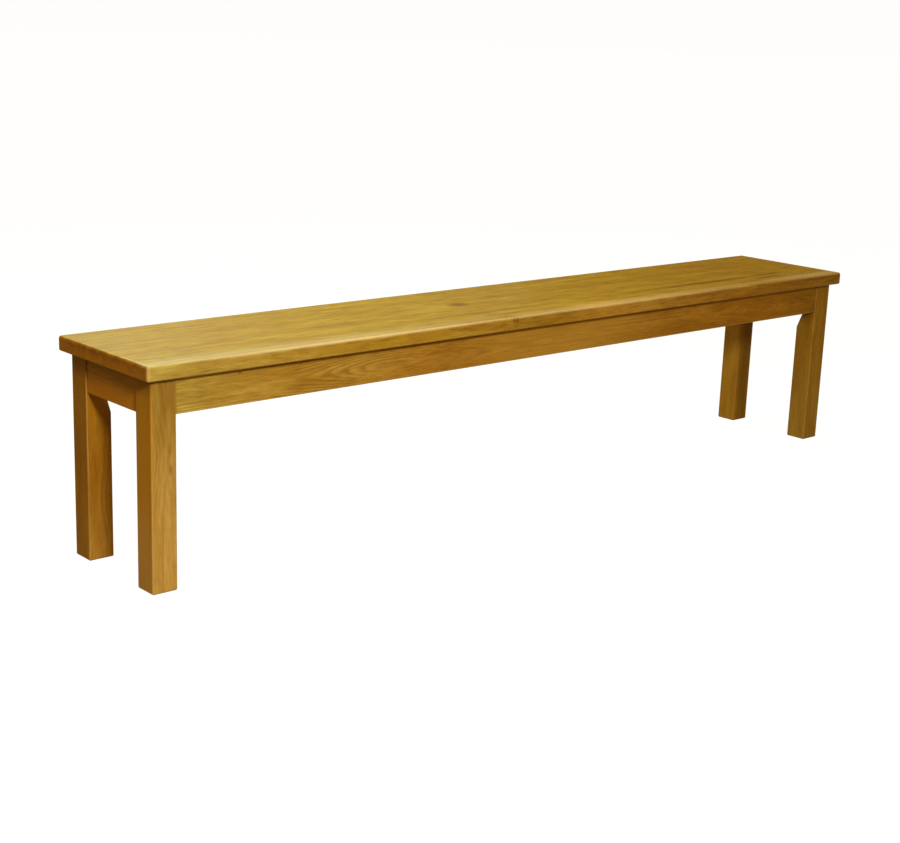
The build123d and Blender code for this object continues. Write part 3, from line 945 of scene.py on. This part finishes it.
def leg_corners():
    """The legs' outer corners at the height of the blocks' middles, each with its two sides."""
    level = seat_underside - block_middle_drop
    sides = [(side_x, side_y) for side_x in (-1, 1) for side_y in (-1, 1)]
    return [(Vector((x * leg_high.x, y * leg_high.y, level)), x, y) for x, y in sides]


def bolt_places():
    """Two bolts to a leg, one above the other, square to the cut of its inner corner."""
    places = []
    for corner, side_x, side_y in leg_corners():
        inward = Vector((-side_x, -side_y, 0)).normalized()
        for side_z in (-1, 1):
            rise = Vector((0, 0, side_z * bolt_spacing / 2))
            places.append((corner + inward * leg_cut_distance + rise, inward))
    return places


def block_screw_places():
    """One screw through each end of a corner block into the apron that it bears on."""
    near = apron_back_depth + block_screw_web
    far = (2 * block_back_distance + block_thickness) / math.sqrt(2) - apron_back_depth
    places = []
    for corner, side_x, side_y in leg_corners():
        long_spot = corner + Vector((-side_x * far, -side_y * near, 0))
        end_spot = corner + Vector((-side_x * near, -side_y * far, 0))
        places += [(long_spot, Vector((0, -side_y, 0))), (end_spot, Vector((-side_x, 0, 0)))]
    return places


def rail_screw_places():
    """Two screws up through each cross rail into the seat."""
    level = seat_underside - rail_screw_cover
    places = []
    for side in ("left", "right"):
        along = sum(corner.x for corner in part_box("cross_rail_" + side)) / 2
        for stave in rail_screw_staves:
            across = sum(corner.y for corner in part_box(stave)) / 2
            places.append((Vector((along, across, level)), down))
    return places


def button_screw_places():
    """One screw through each button into the seat, away from the apron that the button grips."""
    inner_x = leg_high.x - apron_back_depth - button_screw_inset
    inner_y = leg_high.y - apron_back_depth - button_screw_inset
    bay = 2 * leg_low.x / bay_count
    rows = [(count - (bay_count - 1) / 2) * bay for count in range(bay_count)]
    spots = [(row, side * inner_y) for row in rows for side in (-1, 1)]
    spots += [(side * inner_x, 0) for side in (-1, 1)]
    return [(Vector((x, y, seat_underside - button_thickness)), down) for x, y in spots]


def make_fasteners():
    """Threaded bolts, nuts, washers and screws in place of the plain ones."""
    zinc = zinc_material()
    bolts = bolt_places()
    washers = [(spot + inward * nut_distance, inward) for spot, inward in bolts]
    nuts = [(spot + inward * washer_thickness, inward) for spot, inward in washers]
    block_screw = screw_mesh(block_screw_length)
    rail_screw = screw_mesh(rail_screw_length)
    button_screw = screw_mesh(button_screw_length)
    kinds = (
        ("bolts_threaded", "hanger_bolts", bolt_mesh(), bolts),
        ("washers_round", "hanger_washers", washer_mesh(), washers),
        ("nuts_chamfered", "hanger_nuts", nut_mesh(), nuts),
        ("block_screws_threaded", "corner_block_screws", block_screw, block_screw_places()),
        ("rail_screws_threaded", "rail_seat_screws", rail_screw, rail_screw_places()),
        ("button_screws_threaded", "seat_button_screws", button_screw, button_screw_places()),
    )
    for name, node, template, places in kinds:
        new_piece(name, joined_copies(name, template, places), zinc, node)


def floor_material():
    """A pale floor that glows by itself, as white as the photograph's ground."""
    material, shader = new_material("floor")
    shader.inputs["Base Color"].default_value = floor_colour
    shader.inputs["Roughness"].default_value = floor_roughness
    shader.inputs["Specular IOR Level"].default_value = floor_shine
    shader.inputs["Emission Color"].default_value = floor_glow_colour
    shader.inputs["Emission Strength"].default_value = floor_glow
    return material


def make_floor():
    """A flat disc whose far rim rises, so that no horizon shows."""
    mesh = bpy.data.meshes.new("floor")
    points = round_ring(floor_radius, 0.0, floor_sides)
    points += round_ring(floor_rim_radius, floor_rim_height, floor_sides)
    faces = [tuple(range(floor_sides))]
    for count in range(floor_sides):
        after = (count + 1) % floor_sides
        faces.append((count, after, after + floor_sides, count + floor_sides))
    mesh.from_pydata(points, [], faces)
    mesh.materials.append(floor_material())
    floor = new_object("floor", mesh)
    floor.visible_diffuse = False
    floor.visible_glossy = False


def make_light(name, place, aim, size, power, colour, shines):
    """A square soft light."""
    data = bpy.data.lights.new(name, "AREA")
    data.shape = "SQUARE"
    data.size = size
    data.energy = power
    data.color = colour
    light = new_object(name, data)
    light.location = place
    light.rotation_euler = (Vector(aim) - Vector(place)).to_track_quat("-Z", "Y").to_euler()
    light.visible_camera = False
    light.visible_glossy = shines


def make_studio():
    """Floor, lights and sky."""
    make_floor()
    for name, facts in lights.items():
        make_light(name, *facts)
    world = bpy.data.worlds.new("studio")
    world.use_nodes = True
    background = world.node_tree.nodes["Background"]
    background.inputs["Color"].default_value = sky_colour
    background.inputs["Strength"].default_value = sky_strength
    bpy.context.scene.world = world
    bpy.context.scene.view_settings.view_transform = "Standard"


def make_camera():
    """The camera of the photograph's view."""
    data = bpy.data.cameras.new("camera")
    data.sensor_fit = "HORIZONTAL"
    data.sensor_width = sensor_width_mm
    data.lens = camera_focal_pixels * sensor_width_mm / image_width_pixels
    camera = new_object("camera", data)
    yaw = Matrix.Rotation(-camera_yaw, 4, "Z")
    pitch = Matrix.Rotation(math.pi / 2 - camera_pitch, 4, "X")
    roll = Matrix.Rotation(camera_roll, 4, "Z")
    camera.matrix_world = Matrix.Translation(camera_place) @ yaw @ pitch @ roll
    bpy.context.scene.camera = camera


make_camera()
make_studio()
for board in stave_boards() + apron_boards() + leg_boards() + hidden_boards():
    dress(board)
make_fasteners()
